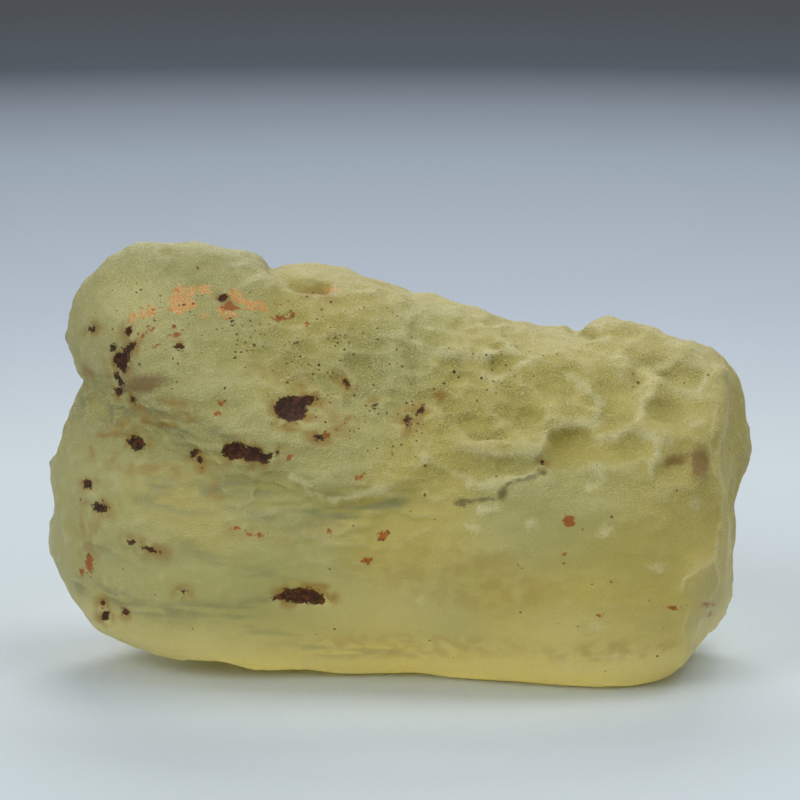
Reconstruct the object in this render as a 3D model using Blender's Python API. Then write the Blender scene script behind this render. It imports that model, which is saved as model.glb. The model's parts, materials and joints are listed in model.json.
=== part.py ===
"""Libyan desert glass: one wind-worn lump of natural glass that rests on a small flat spot.

The lump is one solid. It starts as a sphere primitive that is pushed out to a soft block: an
outline in the front plane, a depth to the front and to the back, and worn faces planed off it.
Ledges, hollows, ridges and lumps are then raised or sunk along the surface's own direction.
World axes: +X along the lump, +Y from its front to its back, +Z up. The lengths of the shape are
in millimetres until the mesh is written, in metres.
"""

import math

import bmesh
import bpy
import numpy as np
from mathutils import Vector, noise

# The driving dimension, in metres
LENGTH = 0.0360  # the finished lump along X; the whole shape is scaled to it

# The soft block, in millimetres from its middle
FRONT_DEPTH = 9.3
BACK_DEPTH = 9.0
BLOCK_POWER = 3.1  # 2 is an ellipse in section, higher is squarer
RESTING_LEVEL = -10.32  # the plane that makes the flat spot
OUTLINE_STEPS = 12  # points of the smooth outline from one of its given points to the next
LEAST_FACING = 0.05  # a worn face planes only the directions that point towards it at least so much

# The front's features are placed as they are seen from this far above the horizontal, and fade
# out where the surface turns away: how much it looks at the viewer with none and all of them
SEEN_FROM = math.radians(12.0)
TURNING_AWAY = (-0.05, 0.25)

# Mesh sizes; the sphere is drawn out first so that its triangles stay even on the long lump
SPHERE_LEVELS = 6
SPHERE_STRETCH = (1.75, 0.95, 1.05)
TRIANGLES = 9600
SMOOTHING_ROUNDS = 1
SEED = 29

OBJECT_NAME = "desert_glass"
COLLECTION_NAME = "libyan_desert_glass"
GLASS_COLOUR = (0.72, 0.68, 0.33, 1.0)
GLASS_ROUGHNESS = 0.38
GLASS_IOR = 1.46

# The outline in the front plane, in millimetres (X, Z), from the right end over the top
OUTLINE = [
    (17.3, 0.6), (17.2, 2.9), (16.8, 4.6), (15.3, 6.0), (13.2, 7.1), (10.2, 7.4), (8.8, 6.7),
    (6.1, 7.2), (3.5, 7.9), (-0.1, 8.7), (-3.6, 9.2), (-6.6, 9.8), (-7.2, 10.3), (-9.0, 11.1),
    (-11.0, 11.7), (-12.9, 11.7), (-15.1, 11.1), (-16.4, 9.6), (-16.8, 7.1), (-16.4, 5.2),
    (-15.8, 4.0), (-16.4, 2.8), (-17.2, 1.0), (-17.9, -1.2), (-18.0, -3.7), (-17.6, -5.7),
    (-16.7, -7.4), (-15.2, -8.5), (-12.9, -9.3), (-10.3, -10.0), (-6.7, -10.3), (-1.0, -10.4),
    (5.1, -10.4), (9.5, -10.9), (14.4, -11.4), (16.9, -10.7), (18.1, -8.8), (18.1, -6.5),
    (17.6, -4.2), (17.3, -2.0),
]

# Worn faces planed off the block: direction they look in, distance from the middle, blend
WORN_FACES = [
    ((0.10, -0.66, 0.745), 7.2, 2.0),  # upper front, leaning back from the ledge to the crest
    ((0.02, -0.99, 0.05), 8.7, 2.0),  # belly
    ((-0.05, -0.85, -0.52), 10.4, 2.5),  # lower front, tucked under
    ((0.97, -0.23, 0.00), 16.6, 1.2),  # right end
    ((0.72, -0.48, -0.50), 17.4, 1.5),  # lower right corner
    ((-0.70, -0.71, -0.05), 13.4, 3.0),  # lower left, falling away
    ((-0.62, -0.74, 0.26), 13.2, 4.5),  # left nose
    ((-0.20, 0.78, 0.60), 10.2, 2.5),  # upper back
    ((0.15, 0.92, -0.36), 9.0, 2.5),  # lower back
    ((0.05, 0.45, -0.89), 10.9, 2.0),  # underside, rising to the back
    ((0.66, 0.75, 0.05), 14.6, 2.0),  # back right
    ((-0.68, 0.73, -0.10), 13.6, 2.5),  # back left
    ((0.30, 0.45, 0.84), 10.6, 2.0),  # top right, sloping to the back
]

# Lumps and broad hollows anywhere: middle (X, Y, Z), reach, height
BROAD_FORMS = [
    ((16.6, 5.4, 0.7), 2.5, 1.9),  # far lobe behind the right end
    ((-4.4, 3.6, 10.0), 2.6, 0.6),  # second crest behind the nose
    ((10.6, 1.0, 7.6), 2.2, 0.4),  # shoulder on the right crest
    ((8.4, -9.0, -5.2), 5.0, 0.9),  # belly's swell
    ((-14.2, -4.0, 7.6), 3.6, 0.5),  # nose's swell
    ((-14.8, -3.4, -3.0), 3.8, 0.5),  # lower left lobe's swell
    ((-0.5, -7.6, -9.8), 3.4, -0.95),  # arch under the front
    ((1.0, -0.6, -10.6), 3.4, 0.46),  # middle of the underside, worn flat where it rests
    ((14.2, 0.6, -10.6), 2.8, -1.2),  # underside lifted at the right
    ((-12.0, 2.0, -10.5), 3.6, -0.4),  # and at the left
    ((-6.0, 9.0, 3.0), 3.8, -1.1),  # broad dish in the back
    ((6.5, 9.0, 4.2), 2.8, -0.8),
    ((3.0, 8.6, -4.5), 3.4, -0.7),
    ((-12.0, 7.0, -4.5), 3.0, -0.6),
    ((11.5, 7.8, -2.0), 2.6, 0.6),
    ((-1.0, 9.4, -0.6), 2.6, 0.6),
    ((-11.5, 6.5, 6.0), 3.0, 0.6),
]

# Lines on the front, in millimetres as seen (across, up): width, height, points
VALLEYS = [
    (1.30, -0.60, [(-17.0, 4.1), (-14.9, 3.0), (-12.8, 1.7)]),
    (1.20, -0.32, [(-10.6, 0.6), (-7.2, -1.5), (-4.1, -2.7), (-1.6, -2.5)]),
    (1.40, -0.22, [(-16.0, -6.0), (-12.0, -6.8), (-8.0, -7.0)]),
    (0.60, -0.45, [(-6.9, 11.0), (-6.3, 9.0), (-5.2, 7.4)]),  # notch beside the nose
    (0.50, -0.30, [(8.9, 7.6), (9.4, 6.2)]),  # notch before the shoulder
]
LEDGE_DROP = 0.46
LEDGE_SHARPNESS = 0.35
LEDGE_REACH = 2.4
LEDGE = [
    (-9.0, 0.4), (-6.7, -0.5), (-4.7, -1.3), (-2.2, -1.5), (0.1, -1.4), (0.8, -0.7),
    (2.0, 0.1), (3.1, -0.3), (4.3, -0.9),
]
RIDGES = [
    (0.38, 0.45, [(3.1, 1.1), (3.7, 0.6), (5.4, 0.6), (6.7, 0.7), (7.3, 2.0), (10.0, 2.3)]),
    (0.40, 0.50, [(12.4, 3.4), (12.0, 2.0), (13.6, 1.1), (12.7, 0.2)]),
    (0.38, 0.35, [(10.0, 1.3), (11.7, 1.9)]),
    (0.35, 0.55, [(16.2, 4.4), (16.0, 2.7), (15.7, 1.0), (15.9, -1.8), (16.1, -4.5), (16.2, -6.4)]),
    (0.35, 0.38, [(15.1, -5.1), (14.7, -5.9), (14.3, -7.2), (14.4, -9.0), (14.3, -10.3)]),
]

# Hollows on the front, as seen: across, up, half width, half height, turn in degrees, depth
HOLLOWS = [
    (8.7, 1.1, 1.55, 1.05, 20, 0.80),
    (5.0, 0.0, 2.00, 0.70, -2, 0.62),
    (3.7, 2.2, 0.80, 0.60, 0, 0.36),
    (6.2, 2.4, 1.00, 0.70, 0, 0.38),
    (4.6, 1.4, 0.95, 0.45, 5, 0.28),
    (5.2, 5.2, 1.05, 0.55, 0, 0.36),
    (7.4, 4.2, 1.30, 0.70, 10, 0.30),
    (10.1, 2.7, 0.75, 0.70, 0, 0.38),
    (11.2, 2.1, 0.85, 0.75, 0, 0.40),
    (11.0, 3.9, 1.25, 0.55, 15, 0.40),
    (11.3, 0.9, 1.15, 0.70, 10, 0.45),
    (14.3, 4.5, 1.55, 1.15, -25, 0.62),
    (13.6, 2.7, 1.15, 0.80, 0, 0.58),
    (14.2, 0.1, 1.25, 1.15, 0, 0.58),
    (9.3, -1.0, 1.40, 0.75, 10, 0.32),
    (12.0, -1.3, 1.30, 0.85, 0, 0.28),
    (0.8, 3.4, 1.00, 0.65, 0, 0.32),
    (-0.9, 2.7, 1.10, 0.60, 20, 0.28),
    (2.6, 4.9, 0.95, 0.55, 0, 0.30),
    (-2.6, 4.6, 1.60, 0.75, 15, 0.30),
    (-3.4, 0.5, 1.80, 0.85, 8, 0.26),
    (-8.6, 5.4, 2.00, 1.15, 10, 0.34),
    (-9.2, 2.9, 1.60, 0.65, 5, 0.26),
    (-5.4, 3.0, 1.00, 0.70, 25, 0.26),  # pits that hold the dark fills
    (-7.7, 0.6, 1.30, 0.50, -10, 0.24),
    (-4.9, -6.6, 1.20, 0.55, -5, 0.26),
    (-14.1, 5.5, 0.70, 0.80, 0, 0.22),
    (-13.4, 1.1, 0.60, 0.45, -20, 0.20),
]

HOLLOW_WALL = 1.3  # 1 is a bell's slope, higher is a flatter floor with steeper walls

# Hollows worn at random into the top, the ends, the back and the underside
RANDOM_HOLLOWS = 120
RANDOM_REACH = (0.5, 1.2)
RANDOM_DEPTH = (0.12, 0.38)

# Unevenness of the whole surface: size of its waves, height
UNEVENNESS = [(10.0, 0.60), (4.5, 0.34), (2.2, 0.13)]

# Hammered dents: size of one, depth, and how far from its middle its rim is, in dent sizes
HAMMER_CELL = 2.5
HAMMER_DEPTH = 0.42
HAMMER_RIM = 0.75
# Their strength on the front and elsewhere, and where they start on the front as it is seen
HAMMERED_FRONT = 0.45
HAMMERED_ELSEWHERE = 0.9
HAMMERED_ACROSS = (0.0, 5.0)
HAMMERED_UP = (-1.5, 1.0)
HAMMERED_RIGHT_END = (15.0, 16.5)


def clear_scene():
    for obj in list(bpy.data.objects):
        bpy.data.objects.remove(obj, do_unlink=True)


def new_collection(name):
    collection = bpy.data.collections.new(name)
    bpy.context.scene.collection.children.link(collection)
    return collection


def smooth_step(low, high, values):
    part = np.clip((values - low) / (high - low), 0.0, 1.0)
    return part * part * (3.0 - 2.0 * part)


def smooth_min(first, second, blend):
    gap = np.maximum(blend - np.abs(first - second), 0.0) / blend
    return np.minimum(first, second) - gap * gap * blend / 4.0


def outline_radius(angles):
    """The outline's distance from the middle at each angle, through a closed smooth curve."""
    points = np.array(OUTLINE)
    count = len(points)
    steps = np.linspace(0.0, 1.0, OUTLINE_STEPS, endpoint=False)[:, None]
    curve = []
    for index in range(count):
        before, start, end, after = (points[(index + shift) % count] for shift in (-1, 0, 1, 2))
        curve.append(0.5 * (
            2.0 * start
            + (end - before) * steps
            + (2.0 * before - 5.0 * start + 4.0 * end - after) * steps ** 2
            + (3.0 * start - before - 3.0 * end + after) * steps ** 3
        ))
    curve = np.concatenate(curve)
    curve_angles = np.arctan2(curve[:, 1], curve[:, 0])
    curve_radii = np.hypot(curve[:, 0], curve[:, 1])
    order = np.argsort(curve_angles)
    return np.interp(angles, curve_angles[order], curve_radii[order], period=2.0 * math.pi)


def block_radius(directions):
    """How far the worn block reaches in each direction from its middle."""
    across, away, up = directions.T
    flat = np.hypot(across, up)
    depth = np.where(away < 0.0, FRONT_DEPTH, BACK_DEPTH)
    reach = (flat / outline_radius(np.arctan2(up, across))) ** BLOCK_POWER
    reach += (np.abs(away) / depth) ** BLOCK_POWER
    radius = reach ** (-1.0 / BLOCK_POWER)
    for facing, distance, blend in WORN_FACES:
        towards = directions @ np.array(Vector(facing).normalized())
        plane = distance / np.maximum(towards, LEAST_FACING)
        radius = smooth_min(radius, plane, blend)
    return radius


def seen(points):
    """Places as seen from the front: across and up, in millimetres."""
    across, away, up = points.T
    return across, away * math.sin(SEEN_FROM) + up * math.cos(SEEN_FROM)


def front_share(normals):
    """1 where the surface looks at the viewer in front, 0 where it looks away."""
    towards = normals[:, 2] * math.sin(SEEN_FROM) - normals[:, 1] * math.cos(SEEN_FROM)
    return smooth_step(*TURNING_AWAY, towards)


def line_distance(across, up, line):
    """Distance to a line of points, positive on its left side."""
    nearest = np.full(across.shape, np.inf)
    for (x0, y0), (x1, y1) in zip(line, line[1:]):
        run, rise = x1 - x0, y1 - y0
        along = ((across - x0) * run + (up - y0) * rise) / (run * run + rise * rise)
        along = np.clip(along, 0.0, 1.0)
        gap_x = across - x0 - along * run
        gap_y = up - y0 - along * rise
        gap = np.hypot(gap_x, gap_y)
        signed = np.where(run * gap_y - rise * gap_x < 0.0, -gap, gap)
        nearest = np.where(gap < np.abs(nearest), signed, nearest)
    return nearest


def bell(distance, width):
    return np.exp(-0.5 * (distance / width) ** 2)


def wave_noise(points, size):
    scale = 1.0 / size
    return np.array([noise.noise(Vector(point) * scale) for point in points])


def hammered(points):
    """Rounded dents that meet in narrow rims, from 0 in a dent's middle to about 1 on a rim."""
    scale = 1.0 / HAMMER_CELL
    nearest = [noise.voronoi(Vector(point) * scale)[0][0] for point in points]
    return np.clip(np.array(nearest) / HAMMER_RIM, 0.0, 1.0) ** 2


def broad_relief(points, normals):
    height = np.zeros(len(points))
    for middle, reach, rise in BROAD_FORMS:
        height += rise * bell(np.linalg.norm(points - np.array(middle), axis=1), reach)
    for size, rise in UNEVENNESS:
        height += rise * wave_noise(points, size)

    across, up = seen(points)
    on_front = front_share(normals)
    for width, rise, line in VALLEYS:
        height += rise * on_front * bell(line_distance(across, up, line), width)
    above = line_distance(across, up, LEDGE)
    lip = smooth_step(-LEDGE_SHARPNESS, LEDGE_SHARPNESS, above) - 0.5
    height += LEDGE_DROP * on_front * lip * np.exp(-np.abs(above) / LEDGE_REACH)
    return height


def hammered_share(points, normals):
    """Where the surface is hammered: the upper right of the front, the top and the back."""
    across, up = seen(points)
    on_front = front_share(normals)
    upper_right = smooth_step(*HAMMERED_ACROSS, across) * smooth_step(*HAMMERED_UP, up)
    upper_right = upper_right * (1.0 - smooth_step(*HAMMERED_RIGHT_END, across))
    return on_front * upper_right * HAMMERED_FRONT + (1.0 - on_front) * HAMMERED_ELSEWHERE


def fine_relief(points, normals):
    across, up = seen(points)
    on_front = front_share(normals)
    height = HAMMER_DEPTH * hammered_share(points, normals) * (hammered(points) - 0.5)

    for middle_across, middle_up, half_width, half_height, turn, depth in HOLLOWS:
        cos_turn, sin_turn = math.cos(math.radians(turn)), math.sin(math.radians(turn))
        gap_x, gap_y = across - middle_across, up - middle_up
        along = (gap_x * cos_turn + gap_y * sin_turn) / half_width
        aside = (gap_y * cos_turn - gap_x * sin_turn) / half_height
        height -= depth * on_front * np.exp(-(along ** 2 + aside ** 2) ** HOLLOW_WALL)
    for width, rise, line in RIDGES:
        height += rise * on_front * bell(line_distance(across, up, line), width)

    chance = np.random.RandomState(SEED)
    for _ in range(RANDOM_HOLLOWS):
        middle = points[chance.randint(len(points))]
        reach = chance.uniform(*RANDOM_REACH)
        depth = chance.uniform(*RANDOM_DEPTH)
        gap = np.linalg.norm(points - middle, axis=1)
        height -= depth * (1.0 - on_front) * bell(gap, reach)
    return height


def read_points(mesh):
    values = np.empty(len(mesh.vertices) * 3, dtype=np.float32)
    mesh.vertices.foreach_get("co", values)
    return values.reshape(-1, 3).astype(float)


def read_normals(mesh):
    values = np.empty(len(mesh.vertices) * 3, dtype=np.float32)
    mesh.vertex_normals.foreach_get("vector", values)
    return values.reshape(-1, 3).astype(float)


def write_points(mesh, points):
    mesh.vertices.foreach_set("co", points.astype(np.float32).ravel())
    mesh.update()


def raise_relief(mesh, relief):
    points, normals = read_points(mesh), read_normals(mesh)
    write_points(mesh, points + normals * relief(points, normals)[:, None])


def relax(mesh, rounds):
    """Evens out sharp steps that the relief leaves between neighbouring points."""
    shape = bmesh.new()
    shape.from_mesh(mesh)
    for _ in range(rounds):
        bmesh.ops.smooth_vert(
            shape, verts=shape.verts, factor=0.5,
            use_axis_x=True, use_axis_y=True, use_axis_z=True,
        )
    shape.to_mesh(mesh)
    shape.free()
    mesh.update()


def glass_material():
    material = bpy.data.materials.new("pale_desert_glass")
    material.use_nodes = True
    shader = material.node_tree.nodes["Principled BSDF"]
    shader.inputs["Base Color"].default_value = GLASS_COLOUR
    shader.inputs["Roughness"].default_value = GLASS_ROUGHNESS
    shader.inputs["Metallic"].default_value = 0.0
    shader.inputs["IOR"].default_value = GLASS_IOR
    return material


def place_on_floor(mesh):
    """Scales the lump to its length and puts the resting plane at height 0 under its middle."""
    points = read_points(mesh)
    low, high = points.min(axis=0), points.max(axis=0)
    scale = LENGTH / (high[0] - low[0])
    middle = (low + high) / 2.0
    origin = np.array([middle[0], middle[1], RESTING_LEVEL])
    write_points(mesh, (points - origin) * scale)


def make_lump(collection):
    shape = bmesh.new()
    bmesh.ops.create_icosphere(shape, subdivisions=SPHERE_LEVELS, radius=1.0)
    mesh = bpy.data.meshes.new(OBJECT_NAME)
    shape.to_mesh(mesh)
    shape.free()

    directions = read_points(mesh) * np.array(SPHERE_STRETCH)
    directions /= np.linalg.norm(directions, axis=1)[:, None]
    write_points(mesh, directions * block_radius(directions)[:, None])
    relax(mesh, SMOOTHING_ROUNDS)
    raise_relief(mesh, broad_relief)
    raise_relief(mesh, fine_relief)
    relax(mesh, SMOOTHING_ROUNDS)
    place_on_floor(mesh)
    mesh.shade_smooth()
    mesh.materials.append(glass_material())

    lump = bpy.data.objects.new(OBJECT_NAME, mesh)
    collection.objects.link(lump)
    return lump


def make_floor_cutter(collection):
    """A block whose top face is the resting plane."""
    size = 2.0 * LENGTH
    shape = bmesh.new()
    bmesh.ops.create_cube(shape, size=size)
    mesh = bpy.data.meshes.new("resting_plane_cutter")
    shape.to_mesh(mesh)
    shape.free()
    cutter = bpy.data.objects.new("resting_plane_cutter", mesh)
    cutter.location = (0.0, 0.0, -size / 2.0)
    cutter.hide_render = True
    cutter.display_type = "WIRE"
    collection.objects.link(cutter)
    return cutter


def thin_and_cut(lump, cutter):
    """Brings the lump to its final number of triangles and cuts the flat spot."""
    thin = lump.modifiers.new("fewer_triangles", "DECIMATE")
    thin.ratio = TRIANGLES / len(lump.data.polygons)
    thin.use_collapse_triangulate = True
    cut = lump.modifiers.new("flat_spot", "BOOLEAN")
    cut.operation = "DIFFERENCE"
    cut.solver = "EXACT"
    cut.object = cutter


def main():
    clear_scene()
    parts = new_collection(COLLECTION_NAME)
    cutters = new_collection("cutters")
    lump = make_lump(parts)
    thin_and_cut(lump, make_floor_cutter(cutters))


main()
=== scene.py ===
import json
import math

import bmesh
import bpy
import numpy as np
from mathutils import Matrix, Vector, noise

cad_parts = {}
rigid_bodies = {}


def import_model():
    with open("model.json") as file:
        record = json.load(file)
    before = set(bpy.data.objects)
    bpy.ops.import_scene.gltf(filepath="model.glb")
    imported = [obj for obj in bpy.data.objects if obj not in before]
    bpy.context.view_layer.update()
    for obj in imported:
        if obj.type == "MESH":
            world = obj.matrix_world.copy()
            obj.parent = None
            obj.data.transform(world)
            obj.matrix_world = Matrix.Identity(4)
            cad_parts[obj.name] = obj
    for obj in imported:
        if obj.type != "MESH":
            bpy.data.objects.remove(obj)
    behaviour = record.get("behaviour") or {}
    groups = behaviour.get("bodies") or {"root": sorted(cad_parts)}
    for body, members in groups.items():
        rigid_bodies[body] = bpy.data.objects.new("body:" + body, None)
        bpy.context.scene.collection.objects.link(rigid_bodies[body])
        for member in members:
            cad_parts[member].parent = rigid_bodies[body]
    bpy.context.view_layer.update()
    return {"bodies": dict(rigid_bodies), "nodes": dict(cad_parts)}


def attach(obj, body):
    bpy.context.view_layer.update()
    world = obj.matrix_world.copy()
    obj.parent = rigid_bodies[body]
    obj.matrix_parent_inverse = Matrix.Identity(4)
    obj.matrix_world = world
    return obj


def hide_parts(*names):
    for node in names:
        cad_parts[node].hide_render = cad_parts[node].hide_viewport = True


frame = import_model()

scene = bpy.context.scene
scene.view_settings.view_transform = "Standard"


# Camera

shot = {
    "azimuth": 0.0,  # degrees round the lump, 0 looks along +Y
    "elevation": 12.0,  # degrees above the horizontal
    "distance": 0.420,  # metres from the aim
    "fieldWidth": 0.04096,  # metres across the picture at the lump
    "lumpMiddle": (0.0, 0.0, 0.0103),
    "lookAbove": 0.003277,  # the lump sits a little below the picture's middle
    "lookLeft": 0.000051,
}


def viewAxes():
    turn, tilt = math.radians(shot["azimuth"]), math.radians(shot["elevation"])
    right = Vector((math.cos(turn), math.sin(turn), 0.0))
    ahead = Vector((-math.sin(turn) * math.cos(tilt), math.cos(turn) * math.cos(tilt), -math.sin(tilt)))
    return right, ahead, right.cross(ahead)


def makeCamera():
    right, ahead, up = viewAxes()
    lens = bpy.data.cameras.new("shotCamera")
    lens.sensor_width = 36.0
    lens.lens = lens.sensor_width * shot["distance"] / shot["fieldWidth"]
    lens.clip_start, lens.clip_end = 0.01, 20.0
    camera = bpy.data.objects.new("shotCamera", lens)
    aim = Vector(shot["lumpMiddle"]) + up * shot["lookAbove"] - right * shot["lookLeft"]
    camera.location = aim - ahead * shot["distance"]
    camera.rotation_euler = ahead.to_track_quat("-Z", "Y").to_euler()
    scene.collection.objects.link(camera)
    scene.camera = camera


# Small maths for the skin. Lengths are in millimetres, and places on the front
# are given as the camera sees them: across and up from the lump's middle.

def smoothStep(low, high, values):
    share = np.clip((values - low) / (high - low), 0.0, 1.0)
    return share * share * (3.0 - 2.0 * share)


def bell(gap, width):
    return np.exp(-0.5 * (gap / width) ** 2)


def waves(points, size, shift):  # soft random hills, another shift gives another pattern
    offset = Vector((shift, -shift, 0.5 * shift))
    return np.array([noise.noise(Vector(point) / size + offset) for point in points])


def lineGap(across, up, line):  # distance to a line of points
    nearest = np.full(across.shape, 1e6)
    for (x0, y0), (x1, y1) in zip(line, line[1:]):
        run, rise = x1 - x0, y1 - y0
        along = np.clip(((across - x0) * run + (up - y0) * rise) / (run * run + rise * rise), 0.0, 1.0)
        nearest = np.minimum(nearest, np.hypot(across - x0 - along * run, up - y0 - along * rise))
    return nearest


def insideOval(across, up, spot):  # how far inside an oval, negative outside
    x, y, halfWidth, halfHeight, turn = spot
    c, s = math.cos(math.radians(turn)), math.sin(math.radians(turn))
    along = ((across - x) * c + (up - y) * s) / halfWidth
    aside = ((up - y) * c - (across - x) * s) / halfHeight
    return (1.0 - np.hypot(along, aside)) * min(halfWidth, halfHeight)


def softOval(across, up, spot, edge):  # 0 to 1 over an oval's soft edge, which is in shares of its size
    return smoothStep(*edge, insideOval(across, up, spot[:5]) / min(spot[2:4]))


# The skin's shape. A pair of numbers is mostly where an effect starts and where it is full.

perMetre = 1000.0  # millimetres in a metre

skin = {
    "voxel": 0.18,  # mesh size of the fine skin
    "middleHeight": 10.3,  # the level where "up" is 0
    "smoothing": 6,
    "broadRounds": 70,  # rounds of evening out that leave the broad forms only
    "fineRounds": 10,
    "sharpen": 0.60,  # brings back the edges that the coarse solid rounds off
    "sharpenLimits": (-0.4, 0.25),
    "hollowEdge": (-0.15, 0.75),
    "arrisHeight": 0.07,
    "arrisWidth": 0.12,
    "seamDepth": 0.10,
    "seamWidth": 0.14,
    "notchDepth": 0.35,
    "notchWidth": 0.22,
    "notchTurn": (-0.7, -0.3),  # how far over the top edge the nicks run, 0 is the outline
    "wornGrain": [(2.1, 0.14), (1.05, 0.10), (0.55, 0.075)],  # size, height
    "bellyGrain": 0.32,  # how much of the worn grain the smooth belly has
    "frostGrain": 0.5,  # how much more of it the frosted skin has
    "dimpleSize": 0.95,  # small hammered dents of the dull part
    "dimpleStretch": (0.75, 1.0, 1.2),
    "dimpleDepth": 0.30,
    "dimpleLeast": 0.08,  # share of the dents on the smoothest skin
    "dimpleCrumpled": 0.30,  # and how much more where the skin is crumpled
    "backDentSize": 2.5,  # broad dents on the sides that the photo doesn't show
    "backDentDepth": 0.42,
    "dentLevel": 0.4,  # the level in a dent where the skin isn't moved
    "creaseHeight": 0.22,  # flow creases on the left and along the ledge
    "creaseStretch": (0.30, 0.6, 1.5),
    "creaseWidth": 0.11,
    "creaseLevel": 0.3,
    "creaseLeast": 0.09,  # share of the creases away from the ledge
    "fillDepth": 0.09,  # how deep the dark fills lie
    "fillEdge": (-0.1, 0.15),
    "outlineShare": 0.45,  # the relief is lower along the outline that the photo shows
    "outlineTurn": (0.45, 0.0),
    "restingFade": (0.02, 0.5),  # heights over which the relief starts, so the resting spot stays flat
}

zones = {  # where one kind of skin gives way to another
    "frontTurn": (-0.05, 0.25),  # how far a point faces the camera, 0 is the outline
    "patchEdge": (-1.0, 1.0),
    "frostElsewhere": 0.4,  # share of the frost on the sides that the photo doesn't show
    "specksElsewhere": 0.35,
    "slope": 0.12,  # the smooth belly's upper edge falls to the right
    "bellyTop": (1.0, -1.5),
    "bellyLeft": (-14.0, -8.0),
    "dullBottom": (-2.5, 0.5),
    "crumpledBottom": (-2.5, -0.5),
    "crumpledLeft": (-10.0, -6.0),
    "flowRight": (0.0, -4.0),
    "flowWidth": 1.3,
    "paintedGlowHeight": (4.6, 0.9),  # painted glow on the low edge, where light comes through
}

rims = [  # raised crests between the hollows, painted pale and sparkling as highlight: width, height, points
    (0.15, 0.12, [(3.15, 0.97), (3.84, 0.61), (4.76, 0.56), (6.12, 0.67), (6.81, 0.51), (7.01, 0.87)]),
    (0.22, 0.15, [(6.91, 0.51), (7.27, 1.43), (7.94, 2.05), (8.86, 2.15), (9.88, 2.10),
                  (9.98, 3.25), (9.68, 3.71)]),
    (0.17, 0.13, [(9.98, 1.31), (10.91, 1.54), (11.93, 1.84), (12.08, 2.56), (12.29, 3.25), (12.65, 3.48)]),
    (0.26, 0.12, [(12.19, 1.64), (12.85, 1.18), (13.55, 1.18)]),
    (0.22, 0.10, [(12.98, 0.97), (12.85, 0.28), (12.52, -0.18)]),
    (0.18, 0.14, [(12.52, 4.51), (13.41, 5.07), (14.23, 5.32), (15.16, 5.19), (15.49, 4.61), (15.36, 4.04)]),
    (0.18, 0.14, [(15.36, 4.04), (15.05, 3.48), (14.01, 3.84), (13.11, 4.30)]),
    (0.13, 0.09, [(14.70, 2.00), (15.30, 2.10)]),
    (0.15, 0.12, [(2.23, -0.18), (3.02, -0.61), (3.74, -1.21), (4.51, -0.97), (5.89, -0.61), (6.81, -0.51)]),
    (0.18, 0.12, [(0.87, 0.97), (1.33, 0.28), (2.10, -0.05)]),
    (0.12, 0.07, [(3.94, -2.36), (4.97, -2.10)]),
    (0.18, 0.10, [(8.50, 4.51), (9.42, 4.04), (9.68, 3.71)]),
    (0.14, 0.07, [(10.70, 4.97), (11.16, 4.51)]),
    (0.17, 0.11, [(2.00, 5.65), (2.92, 5.32), (4.30, 5.53), (5.66, 5.71)]),
    (0.17, 0.11, [(4.18, 4.40), (4.97, 4.45), (5.89, 4.86), (6.45, 5.19)]),
    (0.20, 0.08, [(9.78, -0.18), (10.12, -0.75), (9.42, -1.21)]),
    (0.14, 0.12, [(-5.40, -0.72), (-4.71, -1.23), (-3.80, -1.69), (-2.66, -1.63), (-1.40, -1.23),
                  (-0.15, -1.38)]),
]
arrises = [  # thin raised edges down the right end, painted pale as highlight
    [(16.13, 3.02), (15.82, 2.10), (15.62, 1.18), (15.77, 0.05), (15.95, -0.61)],
    [(16.54, 2.10), (16.54, 1.64), (16.08, 1.08), (15.95, 0.41), (16.28, -1.21), (16.30, -1.92),
     (16.11, -3.16)],
    [(16.11, -3.16), (15.86, -4.53), (15.98, -5.27), (16.11, -6.02), (15.43, -7.75), (14.93, -8.87)],
    [(15.86, -4.53), (15.43, -5.08), (14.93, -5.46), (14.31, -5.64), (14.13, -6.39)],
    [(14.44, -7.26), (14.37, -8.24), (14.44, -9.49)],
    [(16.79, -2.79), (16.92, -4.03), (16.79, -5.27), (16.42, -6.39)],
]
seam = [  # a fine groove low on the front
    (-2.61, -9.88), (-0.82, -9.63), (0.97, -9.83), (2.76, -10.04), (4.56, -9.88), (6.35, -10.14),
    (8.14, -10.24),
]
notches = [  # nicks cut into the top edge
    [(-6.76, 10.60), (-6.40, 9.88), (-5.79, 9.42), (-5.02, 9.11), (-3.89, 8.96)],
    [(9.00, 7.40), (8.90, 6.90), (9.60, 6.55)], [(4.90, 8.90), (5.10, 8.20), (5.80, 7.85)],
]
hollows = [  # smooth dips, painted olive as shade: across, up, half width, half height, turn, depth
    (8.60, 1.23, 1.31, 0.82, 0, 0.13), (4.86, -0.05, 2.05, 0.61, -3, 0.15),
    (14.13, 4.45, 1.28, 1.02, 15, 0.10), (13.31, 2.71, 1.13, 0.69, 0, 0.11),
    (13.77, -0.05, 1.02, 0.87, 0, 0.13), (11.21, 0.92, 0.97, 0.61, 0, 0.11),
    (4.86, 5.12, 0.44, 0.26, 0, 0.14), (3.74, 2.20, 0.46, 0.41, 0, 0.14),
    (10.24, 3.84, 1.43, 0.44, 8, 0.12), (7.94, 3.84, 1.18, 0.61, 0, 0.10),
    (0.87, 6.96, 0.72, 0.36, -10, 0.10), (2.92, 7.12, 0.72, 0.31, -10, 0.12),
    (4.76, 7.27, 0.61, 0.31, -8, 0.10), (0.31, 5.07, 0.61, 0.31, 0, 0.10),
    (2.25, 2.76, 0.46, 0.31, 0, 0.10), (6.09, 2.56, 1.28, 0.82, 0, 0.10),
    (4.97, 5.94, 0.41, 0.26, 0, 0.12), (-2.40, -2.30, 1.80, 0.42, 6, 0.12),
]
shadeZones = [  # broad patches of painted shade: across, up, half width, half height, turn
    (-6.8, 5.6, 4.8, 1.9, -8), (11.3, -4.3, 4.0, 2.0, 4), (-8.0, -1.0, 5.0, 1.1, -6),
]
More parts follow.
